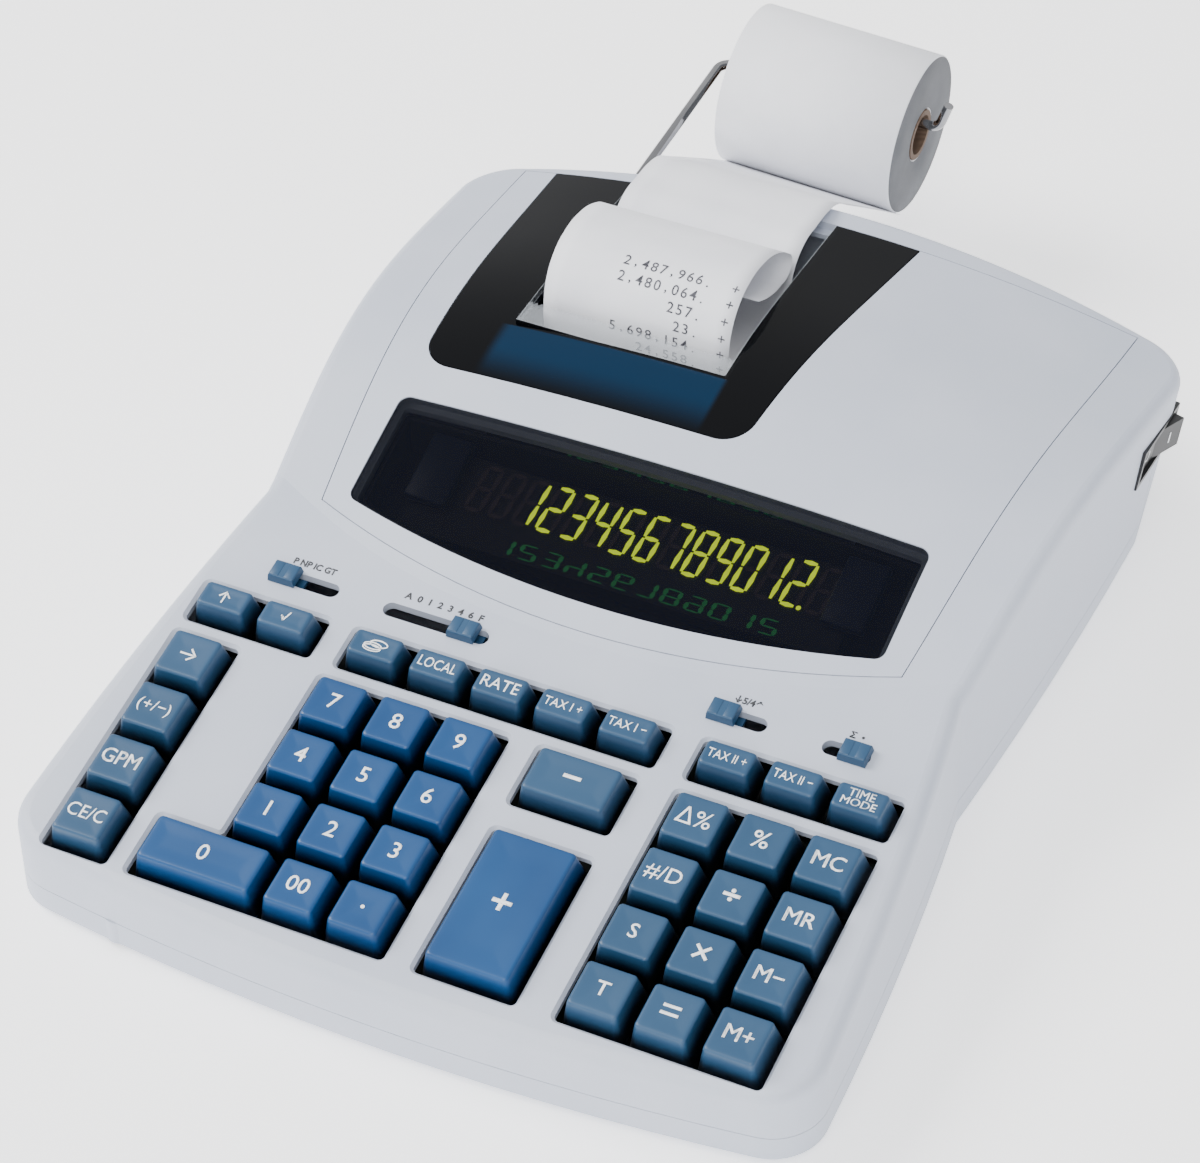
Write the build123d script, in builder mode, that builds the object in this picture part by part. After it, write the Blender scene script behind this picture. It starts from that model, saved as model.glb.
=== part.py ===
from build123d import *
import math
import os

# Printing desk calculator: a wedge-shaped case with a keyboard deck in front, a crowned
# printer housing behind it and a paper roll on a wire holder at the rear.
# Millimetres.  X runs to the right, Y to the rear, Z up.  The origin is on the desk, under
# the middle of the whole calculator, roll included.

# ---------------------------------------------------------------- driving dimensions
# case
case_depth = 292.0          # front edge to rear top edge, on the centre line
base_depth = 278.0          # the same at the underside, because the rear wall leans out
front_half = 115.0          # half width at the front corners
front_sweep = 9.0           # how far the front edge bows forward at its middle
flank_half = 111.8          # half width between front corner and waist
flank_at = 64.0             # distance of that point from the front
waist_half = 103.1          # half width at the waist
waist_at = 135.6            # distance of the waist from the front
rear_half = 106.6           # half width at the rear, at the underside
rear_sweep = 5.0            # how far the rear edge bows back at its middle
side_lean = 0.12            # how much the rear flanks lean out, per mm of height
front_corner_r = 15.0
rear_corner_r = 15.0
edge_r = 4.0                # rounding of the top edge of the case
foot_h = 2.5                # rubber feet lift the case by this much
floor_t = 2.5
wall = 2.6
seam_z = 10.0               # parting line between the two half shells
rear_seam_z = 30.0          # parting line behind the power switch
seam_gap = 0.2
lip_t = 1.4                 # locating lip of the lower shell inside the upper one
lip_h = 3.0
lip_gap = 0.2

# keyboard deck
deck_tilt = 10.0            # degrees
pitch = 18.5                # key spacing
home_at = 53.9              # the 4-5-6 row's distance from the front
home_z = 39.0               # height of its key tops
cap_rise = 4.9              # key tops stand this far above the deck
deck_end = 170.0            # the deck plane ends inside the housing

# printer housing: distance from the front, height on the centre line, crown radius
housing_stations = [
    (98.0, 39.0, 1850.0),
    (119.2, 46.0, 1740.0),
    (151.8, 56.9, 1360.0),
    (171.4, 63.2, 1251.0),
    (193.2, 68.9, 925.0),
    (213.9, 71.8, 696.0),
    (238.9, 71.8, 555.0),
    (266.1, 69.8, 468.0),
    (305.0, 64.8, 395.0),
]
housing_half = 126.0

# centre panel, its window and the printer cover, in plan
panel_front_half = 86.0
panel_front_at = 135.6
panel_bow_at = 119.4
panel_mid_half = 92.3
panel_mid_at = 200.0
panel_rear_half = 96.2
panel_rear_at = 283.0
under_front_z = 38.0        # a sloping line under the whole panel
under_rear_z = 52.6
panel_t = 2.4
panel_gap = 0.3
ledge_t = 1.6
ledge_w = 3.0
window_half = 79.0
window_top_at = 172.0
window_low_at = 138.6
window_bow_at = 127.5
window_corner_r = 3.0
window_t = 2.0
cover_left = -80.0          # front corners of the smoked cover
cover_right = 17.5
cover_rear_left = -85.5
cover_rear_right = 29.5
cover_front_at = 184.5
cover_corner_r = 9.0
cover_t = 2.2
cover_gap = 0.35

# paper
paper_w = 57.0
paper_x = -28.3             # middle of the paper
paper_t = 0.3
paper_clear = 0.35
lip_at = 293.5              # where the strip bends over the rear edge
lip_z = 67.9
entry_at = 266.0            # where it dips into the cover
entry_z = 71.4
curl_top = 85.6
curl_rear = 258.5
curl_low = 67.6
slot_side = 3.5             # opening beside the paper
tear_at = 214.2             # the serrated edge
tear_root_at = 205.0
tear_t = 1.2
tooth = 1.5
roll_r = 24.7
core_r = 8.0
core_bore_r = 6.25
roll_at = 356.4             # roll axis, distance from the front
droop = 3.0                 # the free end of the wire hangs down by this, degrees
wire_r = 1.5
wire_x = -65.5              # the leg of the wire
wire_z = 58.4               # height of its bend
leg_rise = 3.0              # the leg climbs to the rear, degrees
wire_bend_r = 4.0
hook_rise = 9.0
hook_out = 3.0
axle_spare = 5.6            # bare axle beyond the paper
roll_slack = 0.3
socket_w = 9.0
socket_h = 10.0
wire_gap = 0.05
leg_end_at = 275.0          # the leg ends inside its socket

# print mechanism
platen_r = 8.0
platen_at = 224.4
platen_z = 46.0
platen_shaft_r = 2.0
running_gap = 0.05
unit_side = 9.0             # side plates stand this far outside the paper
unit_t = 1.5
unit_front_at = 195.0
unit_rear_at = 260.0
unit_top = 56.0
head_z = 37.0
head_h = 11.0
head_len = 15.0
cassette_h = 14.0
motor_at = 240.0
motor_z = 30.0
motor_r = 11.0
motor_len = 22.0
gear_t = 3.0
gear_root_r = 8.0
gear_teeth = 18
transformer_x = 68.0
transformer_at = 200.0
transformer_w = 36.0
transformer_len = 42.0
transformer_h = 34.0

# keys
cap_gap = 1.2               # between neighbouring caps at their base
cap_h = 10.0
cap_taper = 10.5            # degrees
cap_wall = 1.3
cap_top_t = 1.6
cap_corner_r = 1.8
cap_edge_r = 0.7
short_len = 11.4            # cap length of the short rows
key_travel = 3.0
stem_r = 2.2
stem_gap = 0.4
stem_reach = 16.2           # stem end below the key top
well_gap = 1.1              # between a cluster's caps and the edge of its well
well_bevel = 0.9
well_r = 1.6
switch_top = 14.2           # key switch bodies, below the key tops
switch_size = 9.5
board_top = 19.4
board_t = 1.6
board_half = 99.5
board_low = -43.0           # board edges, along the deck from the home row
board_high = 60.5

# slide switches on the deck
slide_at = 108.8            # distance of the slots from the front
slide_slot_w = 4.6
slide_neck_w = 3.6
knob_len = 8.0
knob_w = 6.2
knob_h = 2.6
slides = {                  # slot centre, slot length, place of the knob from left to right
    "slide_function": (-76.8, 20.4, 0.0),
    "slide_decimal": (-37.2, 31.4, 0.87),
    "slide_rounding": (51.2, 16.4, 0.0),
    "slide_total": (81.8, 13.4, 1.0),
}
slide_gap = 0.2
slide_end_gap = 0.4
slide_foot_t = 1.0
slide_stem = 2.2
pillar_spots = [(-66.0, 24.0), (38.0, 24.0), (-66.0, -18.0), (38.0, -30.0)]
pillar_r = 3.0

# display module under the window
bezel_depth = 17.0
bezel_t = 1.4
display_tilt = 18.2         # degrees
tube_at = 152.0
tube_depth = 8.5
tube_w = 130.0
tube_len = 27.0
tube_t = 5.5

# power switch in the right flank
power_at = 261.8
power_z = 39.2
power_len = 30.0
power_h = 12.8
power_depth = 20.0
power_slope = 8.0           # degrees, falls to the rear
rocker_len = 24.6
rocker_h = 9.2
rocker_tilt = 9.0
rocker_pin_r = 1.2
power_gap = 0.2
power_stand = 0.3           # stands proud of the flank
pocket_depth = 10.0
pivot_depth = 3.3

# fasteners, feet, cord entry
screw_spots = [(-79.6, 7.2), (40.6, 7.2), (-100.6, 205.0), (100.6, 205.0)]
screw_r = 1.5
screw_tip_z = 19.0
screw_head_r = 2.8
screw_head_h = 1.4
boss_r = 3.4
foot_r = 7.0
foot_spots = [(-98.0, 24.0), (98.0, 24.0), (-92.0, 262.0), (92.0, 262.0)]
inlet_x = 62.0
inlet_z = 16.0
inlet_r = 3.6

# ---------------------------------------------------------------- derived places
overall_depth = roll_at + roll_r
front_y = -overall_depth / 2
tilt = math.radians(deck_tilt)
sin_t = math.sin(tilt)
cos_t = math.cos(tilt)
cap_base = pitch - cap_gap
rear_lean = (case_depth - base_depth) / 60.0
half_x = 200.0              # cutting blocks reach past the case by this much


def y(distance):
    """Model Y of a point so far behind the front edge."""
    return front_y + distance


def deck_plane(x, along, below=0.0):
    """Plane parallel to the key tops, `below` under them, `along` up the slope."""
    origin = (x, y(home_at) + along * cos_t + below * sin_t, home_z + along * sin_t - below * cos_t)
    return Plane(origin=origin, x_dir=(1, 0, 0), z_dir=(0, -sin_t, cos_t))


def along_deck(distance):
    """Distance up the slope, from the home row, of a point on the deck surface."""
    return (distance - home_at - cap_rise * sin_t) / cos_t


def case_outline(z, inset=0.0):
    """The case in plan at one height."""
    half = rear_half + side_lean * z
    depth = base_depth + rear_lean * z
    corner = depth - rear_sweep
    mid_at = (waist_at + corner) / 2
    mid_half = (waist_half + half) / 2 + 1.6
    with BuildSketch(Plane.XY.offset(z)) as outline:
        with BuildLine():
            ThreePointArc((-front_half, y(front_sweep)), (0, y(0)), (front_half, y(front_sweep)))
            ThreePointArc((front_half, y(front_sweep)), (flank_half, y(flank_at)), (waist_half, y(waist_at)))
            ThreePointArc((waist_half, y(waist_at)), (mid_half, y(mid_at)), (half, y(corner)))
            ThreePointArc((half, y(corner)), (0, y(depth)), (-half, y(corner)))
            ThreePointArc((-half, y(corner)), (-mid_half, y(mid_at)), (-waist_half, y(waist_at)))
            ThreePointArc((-waist_half, y(waist_at)), (-flank_half, y(flank_at)), (-front_half, y(front_sweep)))
        make_face()
        fillet(outline.vertices().group_by(Axis.Y)[0], front_corner_r)
        fillet(outline.vertices().group_by(Axis.Y)[-1], rear_corner_r)
        if inset:
            offset(amount=-inset, kind=Kind.INTERSECTION)
    return outline.sketch


def case_body(inset=0.0, rounded=False):
    """Solid block of the whole case, or of the space so far inside it."""
    drop = inset / cos_t
    top_z = 80.0
    with BuildPart() as flanks:
        add(case_outline(0, inset))
        add(case_outline(top_z, inset))
        loft(ruled=True)
    with BuildPart() as crown:
        for distance, height, radius in housing_stations:
            top = height - inset
            sag = radius - math.sqrt(radius**2 - housing_half**2)
            with BuildSketch(Plane.XZ.offset(-y(distance))):
                with BuildLine():
                    ThreePointArc((-housing_half, top - sag), (0, top), (housing_half, top - sag))
                    Polyline((housing_half, top - sag), (housing_half, -5), (-housing_half, -5),
                             (-housing_half, top - sag))
                make_face()
        loft()
    deck_z = home_z - (home_at + cap_rise * sin_t) * math.tan(tilt) - cap_rise * cos_t - drop
    with BuildPart() as block:
        with BuildSketch(Plane.YZ):
            with BuildLine():
                Polyline((y(-20), -5), (y(deck_end), -5), (y(deck_end), deck_z + deck_end * math.tan(tilt)),
                         (y(-20), deck_z - 20 * math.tan(tilt)), close=True)
            make_face()
        extrude(amount=half_x, both=True)
        add(crown.part)
        add(flanks.part, mode=Mode.INTERSECT)
        if rounded:
            fillet([edge for edge in block.edges() if on_rim(edge, block.faces())], edge_r)
    return block.part


def on_rim(edge, faces):
    """True for an edge where a side wall meets the top of the case."""
    middle = edge @ 0.5
    touching = [face for face in faces if face.distance_to(middle) < 0.01]
    steep = [face for face in touching if abs(face.normal_at(middle).Z) < 0.5]
    return middle.Z > seam_z and len(steep) == 1


def housing_height(distance):
    """Height of the housing's centre line, between its stations."""
    for near, far in zip(housing_stations, housing_stations[1:]):
        if near[0] <= distance <= far[0]:
            return near[1] + (far[1] - near[1]) * (distance - near[0]) / (far[0] - near[0])
    return housing_stations[-1][1]


def flank_x(distance, z):
    """Half width of the rear part of the case."""
    share = (distance - waist_at) / (base_depth + rear_lean * z - rear_sweep - waist_at)
    half = rear_half + side_lean * z
    return waist_half + (half - waist_half) * share + 6.4 * share * (1 - share)


def panel_outline(grow=0.0):
    """Plan face of the centre panel."""
    with BuildSketch() as outline:
        with BuildLine():
            ThreePointArc((-panel_front_half, y(panel_front_at)), (0, y(panel_bow_at)),
                          (panel_front_half, y(panel_front_at)))
            for side in (1, -1):
                ThreePointArc((side * panel_front_half, y(panel_front_at)),
                              (side * panel_mid_half, y(panel_mid_at)),
                              (side * panel_rear_half, y(panel_rear_at)))
            Line((panel_rear_half, y(panel_rear_at)), (-panel_rear_half, y(panel_rear_at)))
        make_face()
        if grow:
            offset(amount=grow, kind=Kind.INTERSECTION)
    return outline.sketch


def window_outline(grow=0.0):
    """Plan face of the display window."""
    with BuildSketch() as outline:
        with BuildLine():
            ThreePointArc((-window_half, y(window_low_at)), (0, y(window_bow_at)),
                          (window_half, y(window_low_at)))
            Polyline((window_half, y(window_low_at)), (window_half, y(window_top_at)),
                     (-window_half, y(window_top_at)), (-window_half, y(window_low_at)))
        make_face()
        fillet(outline.vertices(), window_corner_r)
        if grow:
            offset(amount=grow, kind=Kind.INTERSECTION)
    return outline.sketch


def cover_outline(grow=0.0):
    """Plan face of the smoked printer cover."""
    with BuildSketch() as outline:
        with BuildLine():
            rear_y = y(panel_rear_at - panel_gap)
            Polyline((cover_left, y(cover_front_at)), (cover_right, y(cover_front_at)),
                     (cover_rear_right, rear_y), (cover_rear_left, rear_y), close=True)
        make_face()
        fillet(outline.vertices().group_by(Axis.Y)[0], cover_corner_r)
        if grow:
            offset(amount=grow, kind=Kind.INTERSECTION)
    return outline.sketch


def column(face, low=None, high=80.0):
    """Upright solid on a plan face; it starts at `low`, or along a line that stays under the panel."""
    start = under_front_z - 10 if low is None else low
    with BuildPart() as block:
        with BuildSketch(Plane.XY.offset(start)):
            add(face)
        extrude(amount=high - start)
        if low is None:
            with BuildSketch(Plane.YZ):
                with BuildLine():
                    Polyline((y(100), under_front_z), (y(panel_rear_at + 10), under_rear_z),
                             (y(panel_rear_at + 10), 0), (y(100), 0), close=True)
                make_face()
            extrude(amount=half_x, both=True, mode=Mode.SUBTRACT)
    return block.part


def layer(upper, lower):
    """The skin of the case between two depths below its surface."""
    with BuildPart() as skin:
        add(case_body(upper))
        add(case_body(lower), mode=Mode.SUBTRACT)
    return skin.part


def ring(outside, inside):
    """Upright frame between two plan faces."""
    with BuildPart() as frame:
        add(column(outside))
        add(column(inside), mode=Mode.SUBTRACT)
    return frame.part


def finish(piece, name):
    """Label a finished piece and write its file."""
    piece.label = name
    export_step(piece, f"parts/{name}.step")


# ---------------------------------------------------------------- keyboard layout
# name, column X, distance up the slope from the home row, width in pitches, length in pitches
short_row = 39.2
keys = []
for name, row in (("key_shift", 1), ("key_sign", 0), ("key_gpm", -1), ("key_clear", -2)):
    keys.append((name, -5 * pitch, row * pitch, 1, 1))
for name, place in (("key_feed", -5), ("key_root", -4)):
    keys.append((name, place * pitch, short_row, 1, 0))
short_names = ("key_currency", "key_local", "key_rate", "key_tax1_plus", "key_tax1_minus")
for place, name in enumerate(short_names):
    keys.append((name, -46.8 + place * pitch, short_row, 1, 0))
for place, name in enumerate(("key_tax2_plus", "key_tax2_minus", "key_time_mode")):
    keys.append((name, (3 + place) * pitch, short_row, 1, 0))
digits_x = -30.2            # middle column of the digit block
for digit in range(1, 10):
    column_x = digits_x + ((digit - 1) % 3 - 1) * pitch
    keys.append((f"key_{digit}", column_x, ((digit - 1) // 3 - 1) * pitch, 1, 1))
keys.append(("key_0", digits_x - 1.5 * pitch, -2 * pitch, 2, 1))
keys.append(("key_00", digits_x, -2 * pitch, 1, 1))
keys.append(("key_point", digits_x + pitch, -2 * pitch, 1, 1))
total_x = 20.8              # the wide minus and plus keys
keys.append(("key_minus", total_x, pitch, 1.5, 1))
keys.append(("key_plus", total_x, -1.25 * pitch, 1.5, 2.5))
block_names = (
    ("key_delta_percent", "key_percent", "key_mc"),
    ("key_date", "key_divide", "key_mr"),
    ("key_subtotal", "key_multiply", "key_m_minus"),
    ("key_total", "key_equals", "key_m_plus"),
)
for row, names in enumerate(block_names):
    for place, name in enumerate(names):
        keys.append((name, (3 + place) * pitch, (1 - row) * pitch, 1, 1))


def cap_size(width, length):
    """Cap width and length at its base."""
    across = width * pitch - cap_gap
    up = length * pitch - cap_gap if length else short_len
    return across, up


def tapered(x, along, low, high, across, up):
    """Tapered block between two depths below the key tops; the size is the one at its foot."""
    shrink = 2 * (low - high) * math.tan(math.radians(cap_taper))
    with BuildPart() as block:
        with BuildSketch(deck_plane(x, along, low)):
            RectangleRounded(across, up, cap_corner_r)
        with BuildSketch(deck_plane(x, along, high)):
            RectangleRounded(across - shrink, up - shrink, cap_corner_r)
        loft(ruled=True)
    return block.part


def make_key(name, x, along, width, length):
    """A hollow tapered cap on a round stem."""
    across, up = cap_size(width, length)
    cap = tapered(x, along, cap_h, 0, across, up)
    hollow = tapered(x, along, cap_h, cap_top_t, across - 2 * cap_wall, up - 2 * cap_wall)
    with BuildPart() as key:
        add(cap)
        fillet(key.faces().sort_by(Axis.Z)[-1].edges(), cap_edge_r)
        add(hollow, mode=Mode.SUBTRACT)
        with BuildSketch(deck_plane(x, along, stem_reach)):
            Circle(stem_r)
        extrude(amount=stem_reach - cap_top_t / 2)
    return key.part


# ---------------------------------------------------------------- shared solids of the case
os.makedirs("parts", exist_ok=True)
outer = case_body(0.0, rounded=True)
inner = case_body(wall)


def seam_block(rise=0.0):
    """Everything under the parting line, which steps up behind the power switch."""
    with BuildPart() as block:
        with BuildSketch(Plane.YZ):
            with BuildLine():
                Polyline((y(-20), -20), (y(-20), seam_z + rise), (y(power_at - rise), seam_z + rise),
                         (y(power_at - rise), rear_seam_z + rise), (y(320), rear_seam_z + rise),
                         (y(320), -20), close=True)
            make_face()
        extrude(amount=half_x, both=True)
    return block.part


def cluster(names):
    """Edges of the base of a group of caps: x low, x high, along low, along high."""
    spans = []
    for name, x, along, width, length in keys:
        if name in names:
            across, up = cap_size(width, length)
            spans.append((x - across / 2, x + across / 2, along - up / 2, along + up / 2))
    return (min(s[0] for s in spans), max(s[1] for s in spans),
            min(s[2] for s in spans), max(s[3] for s in spans))


clusters = [
    cluster(["key_shift", "key_clear"]),
    cluster(["key_feed", "key_root"]),
    cluster(["key_currency", "key_tax1_minus"]),
    cluster(["key_tax2_plus", "key_time_mode"]),
    cluster(["key_7", "key_9", "key_point", "key_00"]),
    cluster(["key_0", "key_00"]),
    cluster(["key_minus"]),
    cluster(["key_plus"]),
    cluster(["key_delta_percent", "key_m_plus"]),
]


def well_face(grow=0.0):
    """All the key wells, drawn on the deck."""
    with BuildSketch() as face:
        for x_low, x_high, low, high in clusters:
            with Locations(((x_low + x_high) / 2, (low + high) / 2)):
                Rectangle(x_high - x_low + 2 * well_gap, high - low + 2 * well_gap)
        fillet(face.vertices(), well_r)
        if grow:
            offset(amount=grow)
    return face.sketch


deck_surface = deck_plane(0, 0, cap_rise)
with BuildPart() as well_cutter:
    with BuildSketch(deck_surface):
        add(well_face())
    extrude(amount=8, both=True)
    with BuildSketch(deck_surface.offset(0.01)):
        add(well_face(well_bevel))
    extrude(amount=-well_bevel, taper=44)

slot_along = along_deck(slide_at)
with BuildPart() as slot_cutter:
    with BuildSketch(deck_plane(0, slot_along, cap_rise)):
        for middle, length, place in slides.values():
            with Locations((middle, 0)):
                SlotOverall(length, slide_slot_w)
    extrude(amount=8, both=True)

# posts for the case screws: sleeves on the floor, pilot posts under the roof
screw_points = [(x, y(distance)) for x, distance in screw_spots]
with BuildPart() as roof_posts:
    with BuildSketch(Plane.XY.offset(seam_z + seam_gap)):
        with Locations(*screw_points):
            Circle(boss_r)
    extrude(amount=70)
    add(case_body(wall / 2), mode=Mode.INTERSECT)
with BuildPart() as pilot_holes:
    with BuildSketch(Plane.XY):
        with Locations(*screw_points):
            Circle(screw_r)
    extrude(amount=screw_tip_z)

# power switch: local Z points out of the leaning flank, local Y to the rear
power_x = flank_x(power_at, power_z)
lean = math.atan(side_lean)
slope = math.radians(power_slope)
power_out = Vector(math.cos(lean), 0, -math.sin(lean))
power_back = Vector(0, math.cos(slope), -math.sin(slope))
power_up = power_out.cross(power_back)
power_plane = Plane(origin=(power_x, y(power_at), power_z), x_dir=power_up * -1, z_dir=power_out)
pivot = Vector(power_x, y(power_at), power_z) - power_out * pivot_depth

# wire holder: a leg out of the rear wall, an axle that droops to its free end, an upturned hook
rise = math.radians(leg_rise)
sag = math.radians(droop)
bend = Vector(wire_x, y(roll_at), wire_z)
leg_end = Vector(wire_x, y(leg_end_at), wire_z - (roll_at - leg_end_at) * math.tan(rise))
axle_dir = Vector(math.cos(sag), 0, -math.sin(sag))
axle_len = paper_x + paper_w / 2 + axle_spare - wire_x
axle_end = bend + axle_dir * axle_len
hook_end = axle_end + Vector(hook_out, 0, hook_rise)
roll_drop = core_bore_r - wire_r - roll_slack
roll_centre = bend + axle_dir * (paper_x - wire_x) - Vector(axle_dir.Z * -1, 0, axle_dir.X) * roll_drop


def wire(radius, tail=0.0):
    """The bent wire at a chosen radius."""
    start = leg_end - Vector(0, 1, math.tan(rise)) * tail
    with BuildPart() as bent:
        with BuildLine() as path:
            FilletPolyline(start, bend, axle_end, hook_end, radius=wire_bend_r)
        with BuildSketch(Plane(origin=start, x_dir=(1, 0, 0), z_dir=(0, math.cos(rise), math.sin(rise)))):
            Circle(radius)
        sweep(path=path.line)
    return bent.part


# ---------------------------------------------------------------- upper shell
with BuildPart() as socket:
    with BuildSketch(Plane.XY.offset(wire_z - socket_h - 2)):
        with Locations((wire_x, y(leg_end_at + 12))):
            Rectangle(socket_w, 26)
    extrude(amount=socket_h)
    add(case_body(wall / 2), mode=Mode.INTERSECT)

with BuildPart() as ledge:
    add(layer(panel_t, panel_t + ledge_t))
    add(ring(panel_outline(ledge_w), panel_outline(-ledge_w)), mode=Mode.INTERSECT)

with BuildPart() as top_case:
    add(outer)
    add(inner, mode=Mode.SUBTRACT)
    add(column(panel_outline()), mode=Mode.SUBTRACT)
    add(ledge.part)
    add(roof_posts.part)
    add(socket.part)
    add(pilot_holes.part, mode=Mode.SUBTRACT)
    add(well_cutter.part, mode=Mode.SUBTRACT)
    add(slot_cutter.part, mode=Mode.SUBTRACT)
    add(seam_block(seam_gap), mode=Mode.SUBTRACT)
    with BuildSketch(power_plane):
        Rectangle(power_h + 2 * power_gap, power_len + 2 * power_gap)
    extrude(amount=10, both=True, mode=Mode.SUBTRACT)
    add(wire(wire_r + wire_gap, tail=1.0), mode=Mode.SUBTRACT)
finish(top_case.part, "top_case")

# ---------------------------------------------------------------- lower shell
board_under = board_top + board_t
with BuildPart() as above_feet:
    with BuildSketch(Plane.XY.offset(foot_h)):
        Rectangle(2 * half_x, 2 * half_x)
    extrude(amount=90)
with BuildPart() as lip:
    add(layer(wall + lip_gap, wall + lip_gap + lip_t))
    with BuildSketch(Plane.XY.offset(foot_h)):
        Rectangle(2 * half_x, 2 * half_x)
    extrude(amount=seam_z + lip_h - foot_h, mode=Mode.INTERSECT)
    with BuildSketch(Plane.XY):
        with Locations(*screw_points):
            Circle(boss_r + lip_gap)
    extrude(amount=seam_z + lip_h, mode=Mode.SUBTRACT)
with BuildPart() as lip_root:
    add(layer(wall - 0.5, wall + lip_gap + lip_t))
    with BuildSketch(Plane.XY.offset(foot_h)):
        Rectangle(2 * half_x, 2 * half_x)
    extrude(amount=seam_z - seam_gap - foot_h, mode=Mode.INTERSECT)
with BuildPart() as board_pillars:
    for x, along in pillar_spots:
        with BuildSketch(deck_plane(x, along, board_under)):
            Circle(pillar_r)
        extrude(amount=-60)
    add(above_feet.part, mode=Mode.INTERSECT)
with BuildPart() as bottom_case:
    add(outer)
    add(inner, mode=Mode.SUBTRACT)
    add(seam_block(), mode=Mode.INTERSECT)
    with BuildSketch(Plane.XY.offset(foot_h)):
        add(case_outline(foot_h, wall / 2))
    extrude(amount=floor_t)
    add(lip.part)
    add(lip_root.part)
    with BuildSketch(Plane.XY.offset(foot_h)):
        with Locations(*screw_points):
            Circle(boss_r)
    extrude(amount=seam_z - foot_h)
    add(board_pillars.part)
    add(above_feet.part, mode=Mode.INTERSECT)
    with BuildSketch(Plane.XY):
        with Locations(*screw_points):
            Circle(screw_r + 0.25)
    extrude(amount=seam_z + 1, mode=Mode.SUBTRACT)
    with BuildSketch(Plane.XY):
        with Locations(*screw_points):
            Circle(screw_head_r + 0.3)
    extrude(amount=foot_h + screw_head_h + 0.2, mode=Mode.SUBTRACT)
    with BuildSketch(power_plane):
        Rectangle(power_h + 2 * power_gap, power_len + 2 * power_gap)
    extrude(amount=10, both=True, mode=Mode.SUBTRACT)
    with BuildSketch(Plane.XZ.offset(-y(base_depth))):
        with Locations((inlet_x, inlet_z)):
            Circle(inlet_r)
    extrude(amount=12, both=True, mode=Mode.SUBTRACT)
finish(bottom_case.part, "bottom_case")

with BuildPart() as rubber_feet:
    with BuildSketch(Plane.XY):
        for x, distance in foot_spots:
            with Locations((x, y(distance))):
                Circle(foot_r)
    extrude(amount=foot_h)
    fillet(rubber_feet.faces().sort_by(Axis.Z)[0:4].edges(), 0.5)
finish(rubber_feet.part, "rubber_feet")

with BuildPart() as case_screws:
    with BuildSketch(Plane.XY.offset(foot_h + 0.2)):
        with Locations(*screw_points):
            Circle(screw_head_r)
    extrude(amount=screw_head_h)
    with BuildSketch(Plane.XY.offset(foot_h + 0.2)):
        with Locations(*screw_points):
            Circle(screw_r)
    extrude(amount=screw_tip_z - foot_h - 0.2)
    with BuildSketch(Plane.XY.offset(foot_h + 0.2)):
        for x, place in screw_points:
            with Locations((x, place)):
                Rectangle(3.4, 0.8)
                Rectangle(0.8, 3.4)
    extrude(amount=0.9, mode=Mode.SUBTRACT)
finish(case_screws.part, "case_screws")

# ---------------------------------------------------------------- centre panel, window, cover
with BuildPart() as window_rebate:
    add(layer(panel_t - 0.1, panel_t + ledge_t - 0.1))
    add(ring(window_outline(2.0), window_outline(-1.6)), mode=Mode.INTERSECT)
with BuildPart() as cover_rebate:
    add(layer(panel_t - 0.1, panel_t + ledge_t - 0.1))
    add(ring(cover_outline(2.5), cover_outline(-2.5)), mode=Mode.INTERSECT)
    with BuildSketch(Plane.XY):
        with Locations((0, y(panel_rear_at - ledge_w - lip_gap - 100))):
            Rectangle(2 * half_x, 200)
    extrude(amount=90, mode=Mode.INTERSECT)
with BuildPart() as hood_panel:
    add(outer)
    add(case_body(panel_t), mode=Mode.SUBTRACT)
    add(column(panel_outline(-panel_gap)), mode=Mode.INTERSECT)
    add(column(window_outline(0.2)), mode=Mode.SUBTRACT)
    add(column(cover_outline(cover_gap)), mode=Mode.SUBTRACT)
    add(window_rebate.part)
    add(cover_rebate.part)
finish(hood_panel.part, "hood_panel")

with BuildPart() as display_window:
    add(layer(0.15, 0.15 + window_t))
    add(column(window_outline()), mode=Mode.INTERSECT)
finish(display_window.part, "display_window")

slot_left = paper_x - paper_w / 2 - slot_side
slot_right = paper_x + paper_w / 2 + slot_side
tear_z = housing_height(tear_root_at) - 2.0
with BuildPart() as printer_cover:
    add(outer)
    add(case_body(cover_t), mode=Mode.SUBTRACT)
    add(column(cover_outline()), mode=Mode.INTERSECT)
    with BuildSketch(Plane.XY):
        with Locations(((slot_left + slot_right) / 2, y(tear_root_at + 60))):
            Rectangle(slot_right - slot_left, 120)
    extrude(amount=90, mode=Mode.SUBTRACT)
    tooth_count = int((slot_right - slot_left) / tooth)
    tooth_w = (slot_right - slot_left) / tooth_count
    with BuildSketch(Plane.XY.offset(tear_z)):
        with BuildLine():
            points = [(slot_left, y(tear_root_at)), (slot_left, y(tear_at - 1))]
            for n in range(tooth_count):
                points.append((slot_left + (n + 0.5) * tooth_w, y(tear_at)))
                points.append((slot_left + (n + 1) * tooth_w, y(tear_at - 1)))
            points.append((slot_right, y(tear_root_at)))
            Polyline(*points, close=True)
        make_face()
    extrude(amount=tear_t)
finish(printer_cover.part, "printer_cover")

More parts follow.
